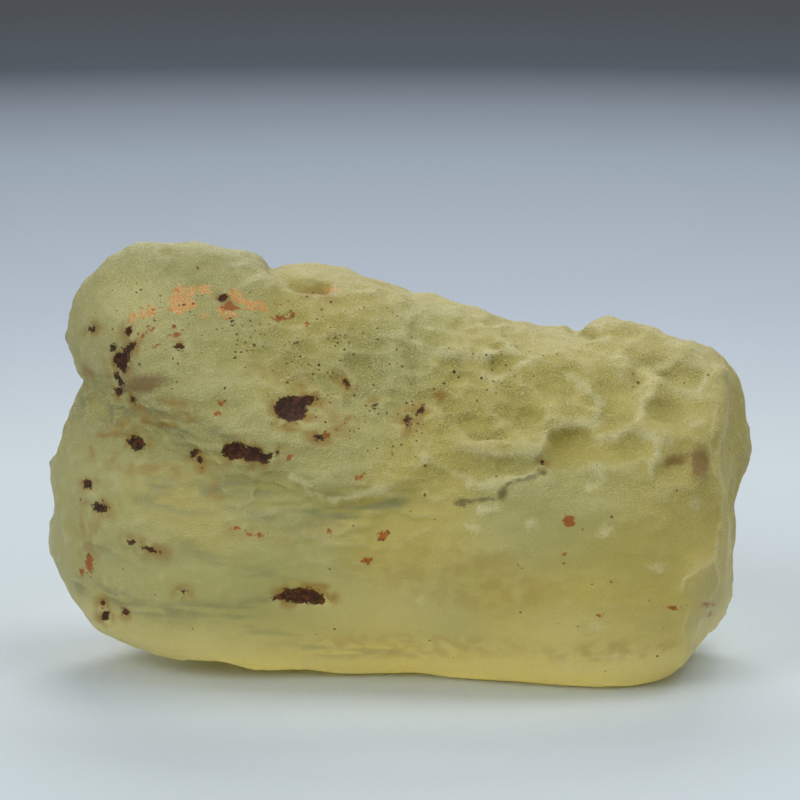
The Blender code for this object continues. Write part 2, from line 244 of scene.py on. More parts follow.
paintedGlowZones = [  # where a painted glow stands for light coming through, the same measures
    (-1.0, -7.6, 5.2, 2.6, 0), (8.0, -9.0, 7.0, 2.0, 0),
    (-14.0, 8.2, 3.0, 2.0, 0), (13.2, 4.6, 3.4, 2.6, -15),
]
paintedGlintSpots = [  # soft pale spots painted as highlights: across, up, half width, half height, turn
    (6.49, -2.92, 0.30, 0.24, 0), (10.28, -3.33, 0.30, 0.24, 20), (3.52, -3.10, 0.32, 0.18, -20),
    (0.97, -6.86, 0.26, 0.18, 10), (9.83, -8.13, 0.26, 0.24, 0), (10.96, -9.62, 0.60, 0.18, 0),
    (12.95, -5.15, 0.34, 0.16, -15), (8.20, -9.95, 0.22, 0.12, 0), (14.80, -1.95, 0.20, 0.26, 0),
]

# Marks on the front: across, up, half width, half height, turn in degrees
darkFills = [
    (-5.55, 2.85, 0.84, 0.66, 0), (-4.80, 3.25, 0.52, 0.28, 12),
    (-8.35, 0.72, 0.66, 0.44, 0), (-7.45, 0.56, 0.60, 0.40, -8), (-6.85, 0.36, 0.40, 0.28, 20),
    (-6.25, 0.61, 0.15, 0.15, 0),
    (-13.41, 1.08, 0.48, 0.36, -20), (-10.44, 0.58, 0.28, 0.22, 0), (-10.15, 0.20, 0.13, 0.32, 25),
    (-14.59, 5.95, 0.17, 0.22, 0), (-14.18, 5.32, 0.44, 0.42, 0), (-13.75, 5.85, 0.46, 0.20, 40),
    (-14.03, 4.92, 0.24, 0.26, 0), (-14.28, 4.35, 0.17, 0.46, 35), (-14.28, 3.74, 0.28, 0.20, 0),
    (-13.57, 3.30, 0.12, 0.30, 25), (-13.77, 6.76, 0.18, 0.24, -25), (-11.16, 5.94, 0.28, 0.14, 10),
    (-5.02, -6.60, 1.00, 0.42, 0), (-4.25, -6.76, 0.46, 0.30, 0), (-5.70, -6.55, 0.42, 0.38, 0),
    (-6.40, -6.76, 0.15, 0.15, 0), (-15.92, -1.02, 0.25, 0.25, 0), (-15.30, -2.20, 0.46, 0.24, -8),
    (-13.60, -3.94, 0.26, 0.13, 0), (-12.65, -4.30, 0.42, 0.14, -12), (-14.00, -7.50, 0.20, 0.20, 0),
    (-15.10, -7.70, 0.25, 0.30, 0), (-15.20, -7.07, 0.14, 0.14, 0), (-11.00, -6.45, 0.20, 0.14, 0),
    (-9.02, 8.45, 0.28, 0.22, 0), (-8.50, 7.17, 0.14, 0.12, 0), (-15.72, 6.90, 0.22, 0.15, 0),
    (-4.10, 1.38, 0.26, 0.17, -15), (-1.33, 2.97, 0.14, 0.13, 0),
    (0.30, 2.25, 0.12, 0.28, 0), (0.70, 2.56, 0.34, 0.10, 35), (1.08, 2.82, 0.14, 0.20, 0),
    (7.10, 0.15, 0.12, 0.12, 0), (-2.76, 4.15, 0.22, 0.13, -20),
]
redSpots = [
    (-15.87, -5.07, 0.20, 0.48, 0), (-16.30, -5.50, 0.14, 0.20, 0), (-11.26, 6.60, 0.40, 0.11, 14),
    (-12.65, 6.86, 0.16, 0.10, 0), (8.40, -2.80, 0.34, 0.28, -20), (13.70, -7.17, 0.30, 0.10, 0),
    (15.50, -7.10, 0.40, 0.10, 0), (15.70, -7.60, 0.20, 0.10, 0), (5.90, -5.07, 0.12, 0.10, 0),
    (8.10, -4.45, 0.12, 0.10, 0), (10.00, -7.50, 0.12, 0.09, 0), (-0.92, -3.53, 0.30, 0.18, 10),
    (-1.70, -4.76, 0.26, 0.16, 0), (-3.60, -3.40, 0.16, 0.12, 0), (-3.60, 1.60, 0.20, 0.13, 30),
    (-8.45, -3.17, 0.26, 0.10, 0), (-7.68, -3.43, 0.34, 0.11, -15), (-7.00, -3.48, 0.24, 0.10, 0),
    (-9.10, 3.17, 0.18, 0.13, 0), (-9.20, 2.55, 0.13, 0.13, -30), (-8.65, 7.99, 0.40, 0.24, 0),
    (-6.20, 7.42, 0.28, 0.14, 0), (-5.58, 7.58, 0.22, 0.13, 15), (-4.76, 7.12, 0.15, 0.13, 0),
    (-3.69, 1.54, 0.22, 0.14, 0), (-5.63, 0.38, 0.22, 0.13, 20), (-2.10, -0.67, 0.30, 0.13, 20),
    (-11.60, 6.95, 0.14, 0.12, 0), (-13.10, 6.55, 0.15, 0.13, 0), (-12.35, 6.02, 0.13, 0.13, 0),
]
glints = [  # orange flakes just under the skin, with their bright glint painted in as highlight
    (-11.15, 8.20, 0.66, 0.52, 0), (-11.30, 8.80, 0.28, 0.36, 0), (-10.70, 8.70, 0.24, 0.32, 0),
    (-8.20, 8.45, 0.50, 0.24, -32), (-7.55, 8.10, 0.60, 0.22, -20), (-6.95, 8.00, 0.44, 0.16, 5),
    (-12.75, 7.68, 0.44, 0.20, -5), (-13.50, 7.50, 0.24, 0.24, 0), (-9.90, 8.88, 0.24, 0.18, 0),
    (-8.75, 7.85, 0.50, 0.26, 0), (-10.00, 7.60, 0.30, 0.12, 0), (-3.60, 8.95, 0.24, 0.12, 0),
]
stains = [  # soft ochre: the same, then strength
    (-3.55, 2.30, 1.75, 1.15, 10, 0.45), (-15.95, 4.25, 0.40, 0.85, 8, 1.0),
    (-14.10, 1.90, 0.80, 0.60, 0, 0.5), (-11.60, 2.40, 1.60, 0.35, 4, 0.45),
    (-12.40, -0.30, 2.20, 0.35, -4, 0.5), (1.95, 3.50, 0.36, 0.28, 0, 1.0),
    (0.60, 2.40, 0.90, 0.80, 0, 0.5), (-6.00, 4.80, 2.40, 0.60, -10, 0.25),
    (-8.00, -3.30, 1.60, 0.35, -6, 0.4), (-5.00, -6.60, 1.60, 0.75, 0, 0.4),
    (3.20, -5.60, 4.20, 1.60, -4, 0.3), (-8.20, 0.30, 1.50, 0.80, 0, 0.4),
    (-15.90, -3.40, 0.80, 1.40, 0, 0.5), (-9.30, -1.30, 0.60, 0.50, 0, 0.6),
    (-14.60, 0.40, 1.60, 0.40, -8, 0.5), (-5.10, -3.60, 1.20, 0.60, 20, 0.3),
    (10.70, -9.40, 3.60, 0.50, 3, 0.4), (0.00, -9.20, 5.50, 0.60, 0, 0.4),
]
rings = [  # ochre lines left round a pit
    (-4.37, 2.60, 1.83, 1.03, 5), (-11.80, 2.60, 1.30, 0.60, 0), (-14.66, 0.90, 1.00, 0.60, 0),
    (-5.30, 3.05, 1.10, 0.85, 0), (-4.80, -6.65, 1.35, 0.62, 0),
]
smears = [(-12.90, 4.12, 1.12, 0.46, 8), (15.10, 0.10, 0.50, 0.85, 0), (13.95, 0.30, 0.60, 0.30, 20)]
# a dark line of painted shadow under the ledge's lip
ledgeShadow = [(2.90, -1.85), (4.00, -1.75), (4.90, -1.55), (5.40, -0.90), (6.80, -0.60), (7.30, -0.30)]
ledgeShadowBeads = [(3.02, -1.85, 0.34, 0.24, 0), (5.15, -1.35, 0.26, 0.34, -30), (7.25, -0.35, 0.20, 0.15, 0)]
flowBand = [(-16.5, 3.6), (-13.8, 2.3), (-10.6, 1.1), (-7.2, -0.9), (-4.3, -2.1), (-1.0, -2.0), (0.6, -1.2)]
flowLines = [  # blue-grey streaks of the flow: width, strength, points
    (0.30, 1.0, [(-16.4, 3.4), (-14.6, 2.6), (-12.6, 2.0), (-10.4, 1.6), (-8.6, 1.5)]),
    (0.32, 0.9, [(-15.6, 2.6), (-13.9, 2.9), (-12.2, 2.6), (-10.2, 2.3)]),
    (0.28, 0.9, [(-12.5, -1.05), (-10.0, -1.40), (-8.5, -0.92), (-6.0, -1.20), (-4.2, -2.20), (-3.1, -2.66)]),
    (0.34, 1.0, [(-5.8, -1.30), (-4.2, -2.15), (-2.9, -2.55), (-1.4, -2.30), (-0.3, -1.80)]),
    (0.30, 0.8, [(-16.5, -6.10), (-14.5, -6.90), (-12.5, -7.45), (-10.0, -7.20), (-8.3, -7.45),
                 (-7.0, -7.00)]),
    (0.22, 0.6, [(-13.4, -1.60), (-11.0, -2.30), (-8.8, -2.20), (-6.4, -2.80)]),
    (0.25, 0.6, [(-15.6, -4.20), (-13.2, -4.60), (-10.6, -4.30), (-8.2, -5.20), (-6.6, -5.60)]),
    (0.20, 0.5, [(-9.0, -8.30), (-6.2, -8.70), (-3.6, -9.50), (0.5, -9.30)]),
]
speckled = [  # where the tiny specks are dense: across, up, half width, half height, turn
    (-4.0, 5.5, 5.0, 3.2, -10), (0.6, 2.6, 1.8, 2.2, 0), (5.0, 5.3, 2.4, 1.2, -10), (-12.5, 7.0, 2.5, 2.0, 0),
    (-3.2, 2.2, 2.0, 1.5, 0), (13.4, 4.7, 1.3, 0.5, 15), (-13.57, 8.65, 0.41, 0.41, 0),
]
frosted = [  # where the skin is dull and sparkles in the light
    (0.5, 4.2, 8.5, 2.6, -14), (12.8, 4.6, 3.2, 1.4, -10), (8.5, 2.6, 3.0, 1.6, 0), (4.5, 1.4, 2.4, 0.9, 0),
]
otherSides = {  # round marks on the sides that the photo doesn't show
    "seed": 12,
    "stretches": (0.6, 1.7),
    "dark": {"count": 26, "sizes": (0.12, 0.55)},
    "red": {"count": 22, "sizes": (0.10, 0.35)},
    "stain": {"count": 30, "sizes": (0.4, 1.6)},
}
farOutside = -1.0  # how far inside a mark a point is where no mark is near


def seenFromFront(points):
    tilt = math.radians(shot["elevation"])
    level = points[:, 2] - skin["middleHeight"]
    return points[:, 0], points[:, 1] * math.sin(tilt) + level * math.cos(tilt)


def facing():  # from the lump towards the camera
    return -np.array(viewAxes()[1])


def facesFront(normals):
    return smoothStep(*zones["frontTurn"], normals @ facing())


def readPoints(mesh):
    flat = np.empty(len(mesh.vertices) * 3, np.float32)
    mesh.vertices.foreach_get("co", flat)
    return flat.reshape(-1, 3).astype(float)


def readNormals(mesh):
    flat = np.empty(len(mesh.vertices) * 3, np.float32)
    mesh.vertex_normals.foreach_get("vector", flat)
    return flat.reshape(-1, 3).astype(float)


def writePoints(mesh, points):
    mesh.vertices.foreach_set("co", points.astype(np.float32).ravel())
    mesh.update()


def evened(points, mesh, rounds):  # each point moves halfway to its neighbours' middle
    ends = np.empty(len(mesh.edges) * 2, np.int32)
    mesh.edges.foreach_get("vertices", ends)
    ends = ends.reshape(-1, 2)
    count = np.bincount(ends.ravel(), minlength=len(points)).astype(float)[:, None]
    for _ in range(rounds):
        total = np.zeros_like(points)
        for axis in range(3):
            total[:, axis] = np.bincount(ends[:, 0], points[ends[:, 1], axis], len(points))
            total[:, axis] += np.bincount(ends[:, 1], points[ends[:, 0], axis], len(points))
        points = 0.5 * points + 0.5 * total / count
    return points


def standing(mesh, points, normals, rounds):  # how far a point stands out of its surroundings
    return np.einsum("ij,ij->i", points - evened(points, mesh, rounds), normals)


def fineMesh(node):
    shape = bmesh.new()
    shape.from_mesh(node.data)
    bmesh.ops.remove_doubles(shape, verts=shape.verts, dist=1e-7)
    bmesh.ops.scale(shape, vec=(perMetre, perMetre, perMetre), verts=shape.verts)
    mesh = bpy.data.meshes.new("glassLump")
    shape.to_mesh(mesh)
    shape.free()
    draft = bpy.data.objects.new("glassLumpDraft", mesh)
    scene.collection.objects.link(draft)
    rounder = draft.modifiers.new("rounder", "SUBSURF")
    rounder.levels = rounder.render_levels = 1
    remesh = draft.modifiers.new("evenMesh", "REMESH")
    remesh.mode = "VOXEL"
    remesh.voxel_size = skin["voxel"]
    fine = bpy.data.meshes.new_from_object(draft.evaluated_get(bpy.context.evaluated_depsgraph_get()))
    fine.name = "glassLump"
    bpy.data.objects.remove(draft)
    return fine


def deepest(across, up, spots):  # how far inside the nearest of several ovals
    inside = np.full(across.shape, farOutside)
    for spot in spots:
        inside = np.maximum(inside, insideOval(across, up, spot))
    return inside


def marksElsewhere(points, front, kind, chance):  # round spots on the sides that the photo doesn't show
    inside = np.full(len(points), farOutside)
    hidden = np.flatnonzero(front < 0.2)
    for _ in range(otherSides[kind]["count"]):
        middle = points[chance.choice(hidden)]
        size = chance.uniform(*otherSides[kind]["sizes"])
        stretch = chance.uniform(*otherSides["stretches"], 3)
        inside = np.maximum(inside, size - np.linalg.norm((points - middle) / stretch, axis=1))
    return inside


def frontOnly(front, inside):
    return np.where(front > 0.5, inside, farOutside)


def dents(points, size):  # 0 in the middle of a dent, about 1 where dents meet
    nearest = np.array([noise.voronoi(Vector(point) / size)[0][0] for point in points])
    meeting = 0.75  # about how far from its middle a dent meets the next, in shares of the size
    return np.clip(nearest / meeting, 0.0, 1.0) ** 2


def patchShare(across, up, front, patches, elsewhere):
    onPatch = smoothStep(*zones["patchEdge"], deepest(across, up, patches))
    return np.maximum(front * onPatch, elsewhere * (1.0 - front))


def flowShare(across, up, front):
    return front * bell(lineGap(across, up, flowBand), zones["flowWidth"])


def patchy(hills, edge, least=0.0):  # breaks an even effect up, "least" is left of it between the patches
    return least + (1.0 - least) * smoothStep(*edge, hills)


def frayed(points, across, up):  # the same places, shifted a little so that outlines come out uneven
    return across + 0.22 * waves(points, 0.9, 11.0), up + 0.18 * waves(points, 0.8, 13.0)


def shapeSkin(mesh):
    points = evened(readPoints(mesh), mesh, skin["smoothing"])
    writePoints(mesh, points)
    normals = readNormals(mesh)
    aboveFloor = smoothStep(*skin["restingFade"], points[:, 2])
    edges = np.clip(standing(mesh, points, normals, skin["broadRounds"]), *skin["sharpenLimits"])
    height = skin["sharpen"] * edges

    across, up = seenFromFront(points)
    front = facesFront(normals)
    overTop = smoothStep(*skin["notchTurn"], normals @ facing())
    nicks = np.zeros(len(points))
    for line in notches:
        nicks += skin["notchDepth"] * overTop * bell(lineGap(across, up, line), skin["notchWidth"])
    across, up = frayed(points, across, up)
    for spot in hollows:
        height -= spot[5] * front * softOval(across, up, spot, skin["hollowEdge"])
    for width, rise, line in rims:
        height += rise * front * bell(lineGap(across, up, line), width)
    for line in arrises:
        height += skin["arrisHeight"] * front * bell(lineGap(across, up, line), skin["arrisWidth"])
    height -= skin["seamDepth"] * front * bell(lineGap(across, up, seam), skin["seamWidth"])

    frost = patchShare(across, up, front, frosted, zones["frostElsewhere"])
    belly = front * smoothStep(*zones["bellyTop"], up + zones["slope"] * across)
    belly = belly * smoothStep(*zones["bellyLeft"], across)
    wornGrainAndPaintedLight = (1.0 - (1.0 - skin["bellyGrain"]) * belly) * (1.0 + skin["frostGrain"] * frost)
    for size, rise in skin["wornGrain"]:
        height += rise * wornGrainAndPaintedLight * waves(points, size, 3.0 * size)

    crumpled = smoothStep(*zones["crumpledBottom"], up) * smoothStep(*zones["crumpledLeft"], across)
    dimpled = np.maximum(frost, skin["dimpleLeast"] + skin["dimpleCrumpled"] * crumpled)
    dimples = dents(points * np.array(skin["dimpleStretch"]), skin["dimpleSize"])
    height += skin["dimpleDepth"] * dimpled * (dimples - skin["dentLevel"])
    backDents = dents(points, skin["backDentSize"])
    height += skin["backDentDepth"] * (1.0 - front) * (backDents - skin["dentLevel"])

    creased = np.maximum(flowShare(across, up, front), skin["creaseLeast"])
    creases = waves(points * np.array(skin["creaseStretch"]), 0.75, 6.0) + 0.5 * waves(points, 1.3, 7.0)
    height += skin["creaseHeight"] * creased * (bell(creases, skin["creaseWidth"]) - skin["creaseLevel"])
    height -= skin["fillDepth"] * front * smoothStep(*skin["fillEdge"], deepest(across, up, darkFills))
    outline = smoothStep(*skin["outlineTurn"], np.abs(normals @ facing()))
    height *= 1.0 - (1.0 - skin["outlineShare"]) * outline
    writePoints(mesh, points + normals * ((height - nicks) * aboveFloor)[:, None])


# The skin's marks, with painted light and shade. Each becomes a field of numbers that the glass reads.

marks = {
    "haloStrength": 0.85,  # ochre round the dark fills
    "haloEdge": (-0.55, -0.02),
    "stainEdge": (-0.6, 0.5),
    "stainElsewhere": 0.6,
    "stainElsewhereEdge": (-0.3, 0.8),
    "stainPatches": (-0.35, 0.35),
    "ringStrength": 0.9,
    "ringWidth": 0.13,
    "rimWidth": 0.9,  # share of the crest's own width that is painted pale as highlight
    "rimPatches": 0.30,  # how much that width comes and goes
    "arrisHighlightHalfWidth": 0.05,
    "ledgeShadowHalfWidth": 0.08,
    "flowOnLedge": 0.35,
    "flowStretch": (0.35, 0.8, 2.6),
    "flowPatches": (-0.25, 0.20),
    "dentShadeStrength": 0.4,  # painted shade in every dent
    "dentShadeEdge": (0.4, 2.0),
    "hollowShadePerDepth": 2.0,  # and in the hollows, by their depth
    "hollowEdge": (-0.05, 0.45),
    "zoneEdge": (-0.3, 0.9),
    "shadeZoneStrength": 0.6,
    "paintedGlowStrength": 0.55,
    "ridgeHighlightEdge": (0.3, 2.2),
    "tintPatches": (-0.25, 0.25),  # greenish glass to yellowish glass
    "tintTilt": 0.03,
    "tintMiddle": -2.0,
    "frostLeast": 0.35,
    "frostPatches": (-0.25, 0.30),
    "dullStrength": 0.45,  # thin frost all over the upper part
    "specksLeast": 0.15,
    "specksPatches": (-0.15, 0.35),
}


def markSkin(mesh):
    points, normals = readPoints(mesh), readNormals(mesh)
    across, up = seenFromFront(points)
    front = facesFront(normals)
    fine = standing(mesh, points, normals, skin["fineRounds"])
    broad = standing(mesh, points, normals, skin["broadRounds"])
    chance = np.random.RandomState(otherSides["seed"])

    fills = frontOnly(front, deepest(across, up, darkFills))
    fills = np.maximum(fills, marksElsewhere(points, front, "dark", chance))
    reds = frontOnly(front, deepest(across, up, redSpots))
    reds = np.maximum(reds, marksElsewhere(points, front, "red", chance))
    stain = marks["haloStrength"] * smoothStep(*marks["haloEdge"], fills)
    for spot in stains:
        stain = np.maximum(stain, front * spot[5] * softOval(across, up, spot, marks["stainEdge"]))
    elsewhere = smoothStep(*marks["stainElsewhereEdge"], marksElsewhere(points, front, "stain", chance))
    stain = np.maximum(stain, marks["stainElsewhere"] * elsewhere)

    across, up = frayed(points, across, up)
    for spot in rings:
        ring = bell(insideOval(across, up, spot), marks["ringWidth"])
        stain = np.maximum(stain, marks["ringStrength"] * front * ring)
    stainHills = waves(points, 0.9, 1.0) + 0.7 * waves(points, 0.4, 2.0)
    # painted highlight along the crests and on the pale spots
    crestHighlight = deepest(across, up, paintedGlintSpots)
    uneven = marks["rimPatches"] * waves(points, 0.8, 17.0)
    for width, _, line in rims:
        crestHighlight = np.maximum(crestHighlight, marks["rimWidth"] * width + uneven - lineGap(across, up, line))
    # painted highlight along the edges at the right end
    arrisHighlight = np.full(len(points), farOutside)
    for line in arrises:
        arrisHighlight = np.maximum(arrisHighlight, marks["arrisHighlightHalfWidth"] - lineGap(across, up, line))
    # painted shadow line under the ledge
    ledgeShadowInside = marks["ledgeShadowHalfWidth"] - lineGap(across, up, ledgeShadow)
    ledgeShadowInside = np.maximum(ledgeShadowInside, deepest(across, up, ledgeShadowBeads))

    flow = marks["flowOnLedge"] * flowShare(across, up, front) * smoothStep(*zones["flowRight"], across)
    for width, strength, line in flowLines:
        flow = np.maximum(flow, strength * front * bell(lineGap(across, up, line), width))
    flowHills = waves(points * np.array(marks["flowStretch"]), 0.85, 5.0)
    # painted shade: dents, hollows and the shade zones turn darker olive
    shadeShare = marks["dentShadeStrength"] * smoothStep(*marks["dentShadeEdge"], -(0.5 * fine + broad) / np.std(broad))
    for spot in hollows:
        strength = min(1.0, marks["hollowShadePerDepth"] * spot[5])
        shadeShare = np.maximum(shadeShare, strength * front * softOval(across, up, spot, marks["hollowEdge"]))
    for spot in shadeZones:
        shadeShare = np.maximum(shadeShare, marks["shadeZoneStrength"] * front * softOval(across, up, spot, marks["zoneEdge"]))
    # painted glow: the low edge and the glow zones turn pale yellow, as where light comes through
    paintedGlowShare = smoothStep(*zones["paintedGlowHeight"], points[:, 2])
    for spot in paintedGlowZones:
        paintedGlowShare = np.maximum(paintedGlowShare, marks["paintedGlowStrength"] * front * softOval(across, up, spot, marks["zoneEdge"]))
    tintHills = waves(points, 7.0, 4.0) + marks["tintTilt"] * (across - marks["tintMiddle"])

    frost = patchShare(across, up, front, frosted, zones["frostElsewhere"])
    frost = frost * patchy(waves(points, 1.1, 21.0), marks["frostPatches"], marks["frostLeast"])
    dull = front * smoothStep(*zones["dullBottom"], up + zones["slope"] * across)
    specky = patchShare(across, up, front, speckled, zones["specksElsewhere"])
    fields = {
        "rim": frontOnly(front, crestHighlight),
        # painted highlight: the parts that stand out turn pale
        "ridgeHighlight": smoothStep(*marks["ridgeHighlightEdge"], fine / np.std(fine) + 0.5 * broad / np.std(broad)),
        "paintedShade": shadeShare,
        "arrisHighlight": frontOnly(front, arrisHighlight),
        "darkFill": fills,
        "redSpot": reds,
        "glint": frontOnly(front, deepest(across, up, glints)),
        "zone": patchy(tintHills, marks["tintPatches"]),
        "stain": stain * patchy(stainHills, marks["stainPatches"]),
        "smear": frontOnly(front, deepest(across, up, smears)),
        "ledgeShadow": frontOnly(front, ledgeShadowInside),
        "flow": flow * patchy(flowHills, marks["flowPatches"]),
        "specky": specky * patchy(waves(points, 1.2, 31.0), marks["specksPatches"], marks["specksLeast"]),
        "frost": np.maximum(frost, marks["dullStrength"] * dull),
        "paintedGlowShare": paintedGlowShare,
    }
    for name, values in fields.items():
        layer = mesh.attributes.new(name, "FLOAT", "POINT")
        layer.data.foreach_set("value", values.astype(np.float32))


# Nodes

def addNode(tree, kind, inputs=None, **settings):  # an input is linked if it is a socket, or else set
    node = tree.nodes.new(kind)
    for key, value in settings.items():
        setattr(node, key, value)
    for key, value in (inputs or {}).items():
        if isinstance(value, bpy.types.NodeSocket):
            tree.links.new(value, node.inputs[key])
        else:
            node.inputs[key].default_value = value
    return node


def mathNode(tree, operation, first, second, third=0.0):
    node = addNode(tree, "ShaderNodeMath", {0: first, 1: second, 2: third}, operation=operation)
    return node.outputs[0]


def mixColour(tree, share, first, second):  # the node's colour sockets are 6 and 7, its share is 0
    return addNode(tree, "ShaderNodeMix", {0: share, 6: first, 7: second}, data_type="RGBA").outputs[2]


def rampValue(tree, value, low, high):  # 0 below low, 1 above high, smooth between
    node = addNode(tree, "ShaderNodeMapRange", {"Value": value, "From Min": low, "From Max": high},
                   interpolation_type="SMOOTHSTEP")
    return node.outputs["Result"]


def field(tree, name):
    return addNode(tree, "ShaderNodeAttribute", attribute_name=name).outputs["Fac"]


def newGroup(name, inputs, outputs):
    group = bpy.data.node_groups.new(name, "ShaderNodeTree")
    for label, kind, value in inputs:
        socket = group.interface.new_socket(label, in_out="INPUT", socket_type=kind)
        if value is not None:
            socket.default_value = value
    for label, kind in outputs:
        group.interface.new_socket(label, in_out="OUTPUT", socket_type=kind)
    return group, group.nodes.new("NodeGroupInput"), group.nodes.new("NodeGroupOutput")


def useGroup(tree, group, **values):
    return addNode(tree, "ShaderNodeGroup", values, node_tree=group)


def makeGrainGroup():  # fine frosting or dust, for the glass and the floor; only its highest grains sparkle
    group, start, end = newGroup(
        "fineGrain",
        [("Place", "NodeSocketVector", None), ("Size", "NodeSocketFloat", 0.13)],
        [("Height", "NodeSocketFloat"), ("Sparkle", "NodeSocketFloat")],
    )
    scale = mathNode(group, "DIVIDE", 1.0, start.outputs["Size"])
    soft = addNode(group, "ShaderNodeTexNoise", {
        "Vector": start.outputs["Place"], "Scale": scale, "Detail": 1.0, "Roughness": 0.6})
    group.links.new(soft.outputs["Fac"], end.inputs["Height"])
    group.links.new(rampValue(group, soft.outputs["Fac"], 0.56, 0.70), end.inputs["Sparkle"])
    return group


def makeRaggedGroup():  # a mark's crisp, uneven edge from how far inside it a point is
    group, start, end = newGroup(
        "raggedEdge",
        [("Unevenness", "NodeSocketFloat", 0.5), ("Inside", "NodeSocketFloat", 0.0),
         ("Raggedness", "NodeSocketFloat", 0.3), ("Softness", "NodeSocketFloat", 0.04)],
        [("Mask", "NodeSocketFloat")],
    )
    shift = mathNode(group, "SUBTRACT", start.outputs["Unevenness"], 0.5)
    edge = mathNode(group, "MULTIPLY_ADD", shift, start.outputs["Raggedness"], start.outputs["Inside"])
    low = mathNode(group, "MULTIPLY", start.outputs["Softness"], -1.0)
    group.links.new(rampValue(group, edge, low, start.outputs["Softness"]), end.inputs["Mask"])
    return group


def makeSpeckGroup():  # tiny scattered specks
    group, start, end = newGroup(
        "tinySpecks",
        [("Place", "NodeSocketVector", None), ("Unevenness", "NodeSocketFloat", 0.5),
         ("Spacing", "NodeSocketFloat", 0.5), ("Radius", "NodeSocketFloat", 0.12),
         ("Amount", "NodeSocketFloat", 0.3)],
        [("Mask", "NodeSocketFloat"), ("Kind", "NodeSocketFloat")],
    )
    scale = mathNode(group, "DIVIDE", 1.0, start.outputs["Spacing"])
    cells = addNode(group, "ShaderNodeTexVoronoi", {"Vector": start.outputs["Place"], "Scale": scale})
    drawn = addNode(group, "ShaderNodeSeparateColor", {"Color": cells.outputs["Color"]})
    chosen = mathNode(group, "LESS_THAN", drawn.outputs["Red"], start.outputs["Amount"])
    size = mathNode(group, "ADD", drawn.outputs["Green"], 0.3)
    reach = mathNode(group, "MULTIPLY", start.outputs["Radius"], size)
    shift = mathNode(group, "SUBTRACT", start.outputs["Unevenness"], 0.5)
    uneven = mathNode(group, "MULTIPLY_ADD", shift, 0.7, reach)
    inside = mathNode(group, "SUBTRACT", uneven, cells.outputs["Distance"])
    mask = mathNode(group, "MULTIPLY", rampValue(group, inside, 0.0, 0.04), chosen)
    group.links.new(mask, end.inputs["Mask"])
    group.links.new(drawn.outputs["Blue"], end.inputs["Kind"])
    return group


def placeInMillimetres(tree):
    where = addNode(tree, "ShaderNodeTexCoord").outputs["Object"]
    scaled = addNode(tree, "ShaderNodeVectorMath", {0: where, "Scale": perMetre}, operation="SCALE")
    return scaled.outputs[0]


# The lump's finish

glass = {
    "greenish": (0.56, 0.545, 0.225, 1.0),
    "yellowish": (0.64, 0.55, 0.155, 1.0),
    # painted highlight colour
    "rim": (1.0, 0.97, 0.64, 1.0),
    # painted shade colour
    "paintedShade": (0.48, 0.445, 0.125, 1.0),
    "flow": (0.23, 0.26, 0.15, 1.0),
    # painted glow colour, for light coming through
    "paintedGlow": (1.0, 0.90, 0.40, 1.0),
    "darkFill": (0.016, 0.002, 0.0, 1.0),
    "darkFillEdge": (0.12, 0.021, 0.001, 1.0),
    "red": (0.44, 0.105, 0.010, 1.0),
    # orange of the flakes, painted bright as their glint
    "glint": (1.0, 0.40, 0.085, 1.0),
    "glintPale": (1.0, 0.74, 0.36, 1.0),
    "stain": (0.42, 0.235, 0.040, 1.0),
    "smear": (0.22, 0.085, 0.024, 1.0),
    # painted shadow colour of the line under the ledge
    "ledgeShadow": (0.09, 0.08, 0.03, 1.0),
    "speck": (0.06, 0.020, 0.003, 1.0),
    "paleSpeck": (0.34, 0.17, 0.03, 1.0),
    "ridgeHighlightStrength": 0.18,
    "flowStrength": 0.85,
    "arrisHighlightStrength": 0.50,
    "smearStrength": 0.75,
    "ledgeShadowStrength": 0.80,
    "crestHighlightLeast": 0.45,  # painted highlight on the crests between their sparkles
    "crestSparkle": 0.50,
    "raggedSize": 0.26,  # millimetres, the nicks in the marks' edges
    "pitRange": (0.60, 0.70),  # darker pits in the orange and red marks
    "fillRange": (0.45, 0.70),  # black-brown to rust inside the dark fills
    "glintingFlakeRange": (0.44, 0.62),
    "grainSize": 0.085,  # millimetres
    "grainShadeAndSparkleLeast": 0.15,  # painted shade on the grain's low points and painted highlight on its tops, on the smooth glass
    "grainShadeAndSparkleFrosted": 0.80,  # and how much more of it on the frosted skin
    "grainShadeRange": (0.50, 0.34),  # painted shade: the lowest grains are dark
    "speckSpacing": 0.24,  # millimetres
    "speckRadius": 0.27,  # share of the spacing
    "specksLeast": 0.012,  # share of the places that hold a speck
    "specksDense": 0.80,
    "bumpLeast": 0.2,
    "bumpFrosted": 0.8,
    "bumpHeight": 0.00022,  # metres
    "smoothRoughness": 0.38,
    "frostRoughness": 0.65,
    "reflection": 0.15,  # less than clean glass, because the skin is worn dull
    "transmission": 0.60,
    "indexOfRefraction": 1.46,
    "depthColour": (0.90, 0.78, 0.05, 1.0),  # what is left of the light deep inside
    "depthDensity": 60.0,
}


